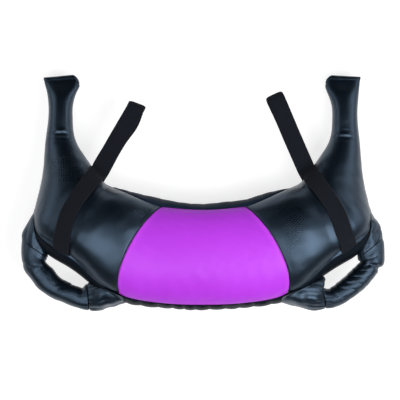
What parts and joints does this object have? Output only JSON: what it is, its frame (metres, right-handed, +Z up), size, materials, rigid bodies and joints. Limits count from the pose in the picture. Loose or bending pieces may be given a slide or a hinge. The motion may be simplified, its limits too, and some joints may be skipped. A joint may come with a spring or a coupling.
{
  "type": "bulgarian bag",
  "caption": "Crescent-shaped stuffed training bag with horn grips, padded side handles and webbing hand loops, lying flat on its back.",
  "frame": {"origin": "middle of the flat underside below the middle of the belly, where the bag rests on the ground", "axes": "+X from the left horn to the right horn as seen from the front, +Y from the belly towards the horn tips, +Z up through the bag's thickness, out of its front face"},
  "size_m": [0.6156, 0.3935, 0.139],
  "materials": {
    "purple_leatherette": "satin vinyl-coated cloth with a fine square emboss",
    "black_leatherette": "satin vinyl-coated cloth with a fine diagonal weave emboss",
    "webbing": "woven nylon webbing, matt",
    "textile_filling": "pressed wadding, hidden",
    "sand_sleeve": "sand packed in cloth sleeves, hidden",
    "handle_foam": "foam rubber core, hidden"
  },
  "bodies": {
    "shell": {"front_centre_panel": "purple_leatherette", "front_side_panel_left": "black_leatherette", "front_side_panel_right": "black_leatherette", "back_centre_panel": "black_leatherette", "back_side_panel_left": "black_leatherette", "back_side_panel_right": "black_leatherette", "inner_gusset": "black_leatherette", "outer_gusset": "black_leatherette", "handle_tab_upper_left": "black_leatherette", "handle_tab_upper_right": "black_leatherette", "handle_tab_lower_left": "black_leatherette", "handle_tab_lower_right": "black_leatherette", "horn_bend_left": "black_leatherette", "horn_bend_right": "black_leatherette", "horn_root_filling_left": "textile_filling", "horn_root_filling_right": "textile_filling", "padding_front": "textile_filling", "padding_back": "textile_filling", "sand_sleeve_left": "sand_sleeve", "sand_sleeve_centre": "sand_sleeve", "sand_sleeve_right": "sand_sleeve", "strap_front_left": "webbing", "strap_front_right": "webbing", "strap_back_left": "webbing", "strap_back_right": "webbing"},
    "horn_left": {"horn_cover_left": "black_leatherette", "horn_filling_left": "textile_filling", "horn_end_hem_left": "black_leatherette"},
    "horn_right": {"horn_cover_right": "black_leatherette", "horn_filling_right": "textile_filling", "horn_end_hem_right": "black_leatherette"},
    "loop_left": {"strap_loop_left": "webbing"},
    "loop_right": {"strap_loop_right": "webbing"},
    "handle_left": {"handle_cover_left": "black_leatherette", "handle_core_left": "handle_foam"},
    "handle_right": {"handle_cover_right": "black_leatherette", "handle_core_right": "handle_foam"}
  },
  "joints": [
    {"name": "horn_left_bend", "type": "hinge", "parent": "shell", "child": "horn_left", "pos_m": [-0.2388, 0.2073, 0.0387], "axis": [1, 0, 0], "range_deg": [-30, 30], "stiffness_Nm_per_rad": 3, "deforming": ["horn_bend_left"]},
    {"name": "horn_right_bend", "type": "hinge", "parent": "shell", "child": "horn_right", "pos_m": [0.2388, 0.2073, 0.0387], "axis": [1, 0, 0], "range_deg": [-30, 30], "stiffness_Nm_per_rad": 3, "deforming": ["horn_bend_right"]},
    {"name": "loop_left_swing", "type": "hinge", "parent": "shell", "child": "loop_left", "pos_m": [-0.1711, 0.1417, 0.0603], "axis": [-0.6331, 0.7741, 0], "range_deg": [-80, 80], "stiffness_Nm_per_rad": 0.08},
    {"name": "loop_right_swing", "type": "hinge", "parent": "shell", "child": "loop_right", "pos_m": [0.1711, 0.1417, 0.0603], "axis": [-0.6331, -0.7741, 0], "range_deg": [-80, 80], "stiffness_Nm_per_rad": 0.08},
    {"name": "handle_left_swing", "type": "hinge", "parent": "shell", "child": "handle_left", "pos_m": [-0.2915, 0.0151, 0.064], "axis": [0.7523, -0.6588, 0], "range_deg": [-25, 25], "stiffness_Nm_per_rad": 2, "deforming": ["handle_tab_upper_left", "handle_tab_lower_left"]},
    {"name": "handle_right_swing", "type": "hinge", "parent": "shell", "child": "handle_right", "pos_m": [0.2915, 0.0151, 0.064], "axis": [-0.7523, -0.6588, 0], "range_deg": [-25, 25], "stiffness_Nm_per_rad": 2, "deforming": ["handle_tab_upper_right", "handle_tab_lower_right"]}
  ]
}
